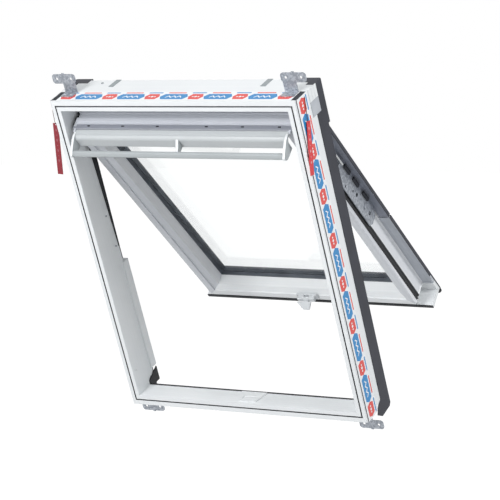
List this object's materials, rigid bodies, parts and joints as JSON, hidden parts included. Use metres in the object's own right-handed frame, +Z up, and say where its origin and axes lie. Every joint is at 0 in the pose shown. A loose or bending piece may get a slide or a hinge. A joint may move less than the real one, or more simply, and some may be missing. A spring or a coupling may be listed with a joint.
{
  "type": "roof window",
  "caption": "Roof window: fixed frame with corner brackets, glazed sash on top-hung arms with a cleaning pivot, latch lever and ventilation flap.",
  "frame": {"origin": "centre of the window in the plane of the bracket flanges", "axes": "+Z up, +X across the window to the right seen from the room, +Y from the room to the outside; the window lies at the pitch of the roof"},
  "size_m": [0.8384, 0.8838, 0.9962],
  "materials": {
    "white_pvc": "smooth white plastic, satin",
    "charcoal_cladding": "charcoal coated aluminium sheet",
    "black_rubber": "black rubber seal",
    "galvanised_steel": "galvanised steel sheet",
    "bare_aluminium": "mill finish aluminium",
    "grey_plastic": "light grey plastic",
    "black_plastic": "black plastic",
    "pale_plastic": "pale plastic",
    "grey_foam": "open-cell grey foam",
    "printed_film": "white film with plain blue and red shapes",
    "clear_glass": "clear float glass",
    "brown_string": "twisted string",
    "red_film": "red plastic film"
  },
  "bodies": {
    "frame": {"frame_head": "white_pvc", "frame_sill": "white_pvc", "frame_jamb_left": "white_pvc", "frame_jamb_right": "white_pvc", "foam_collar": "grey_foam", "cover_tape": "printed_film", "head_cover": "white_pvc", "head_clips": "grey_plastic", "corner_cover_left": "charcoal_cladding", "corner_cover_right": "charcoal_cladding", "side_cladding_left": "charcoal_cladding", "side_cladding_right": "charcoal_cladding", "corner_caps": "white_pvc", "hinge_housings": "grey_plastic", "bracket_upper_left": "galvanised_steel", "bracket_upper_right": "galvanised_steel", "bracket_lower_left": "galvanised_steel", "bracket_lower_right": "galvanised_steel", "bracket_screws": "galvanised_steel", "sill_seal": "black_rubber", "jamb_seals": "black_rubber", "jamb_strip_left": "white_pvc", "jamb_strip_right": "white_pvc", "jamb_screws": "galvanised_steel", "corner_wedges": "black_rubber", "striker_plate": "white_pvc", "hinge_lugs": "galvanised_steel", "pull_string_left": "brown_string", "pull_string_right": "brown_string", "pull_tag_left": "red_film", "pull_tag_right": "red_film"},
    "arms": {"arm_left": "galvanised_steel", "arm_right": "galvanised_steel", "arm_cover_left": "charcoal_cladding", "arm_cover_right": "charcoal_cladding", "arm_liners": "bare_aluminium", "arm_pads": "black_plastic", "arm_rods": "pale_plastic"},
    "sash": {"sash_top_rail": "white_pvc", "sash_bottom_rail": "white_pvc", "sash_stile_left": "white_pvc", "sash_stile_right": "white_pvc", "glass_inner": "clear_glass", "glass_outer": "clear_glass", "glass_spacer": "black_plastic", "glazing_gasket": "black_rubber", "sash_cladding_top": "charcoal_cladding", "sash_cladding_bottom": "charcoal_cladding", "sash_cladding_left": "charcoal_cladding", "sash_cladding_right": "charcoal_cladding", "sash_liners": "bare_aluminium", "stile_seals": "black_rubber", "bottom_seals": "black_rubber", "corner_plugs": "black_rubber", "pivot_pins": "galvanised_steel", "latch_housing": "white_pvc"},
    "latch": {"latch_lever": "white_pvc"},
    "vent": {"vent_flap": "white_pvc", "control_bar": "white_pvc"}
  },
  "joints": [
    {"name": "arm_hinge", "type": "hinge", "parent": "frame", "child": "arms", "pos_m": [0, -0.08967, 0.3532], "axis": [1, 0, 0], "range_deg": [-30, 15]},
    {"name": "cleaning_pivot", "type": "hinge", "parent": "arms", "child": "sash", "pos_m": [0, 0.1904, 0.12901], "axis": [1, 0, 0], "range_deg": [0, 135]},
    {"name": "latch_turn", "type": "hinge", "parent": "sash", "child": "latch", "pos_m": [0, 0.50322, -0.16694], "axis": [1, 0, 0], "range_deg": [-60, 0]},
    {"name": "vent_turn", "type": "hinge", "parent": "sash", "child": "vent", "pos_m": [0, -0.20264, 0.3383], "axis": [1, 0, 0], "range_deg": [0, 20]}
  ]
}
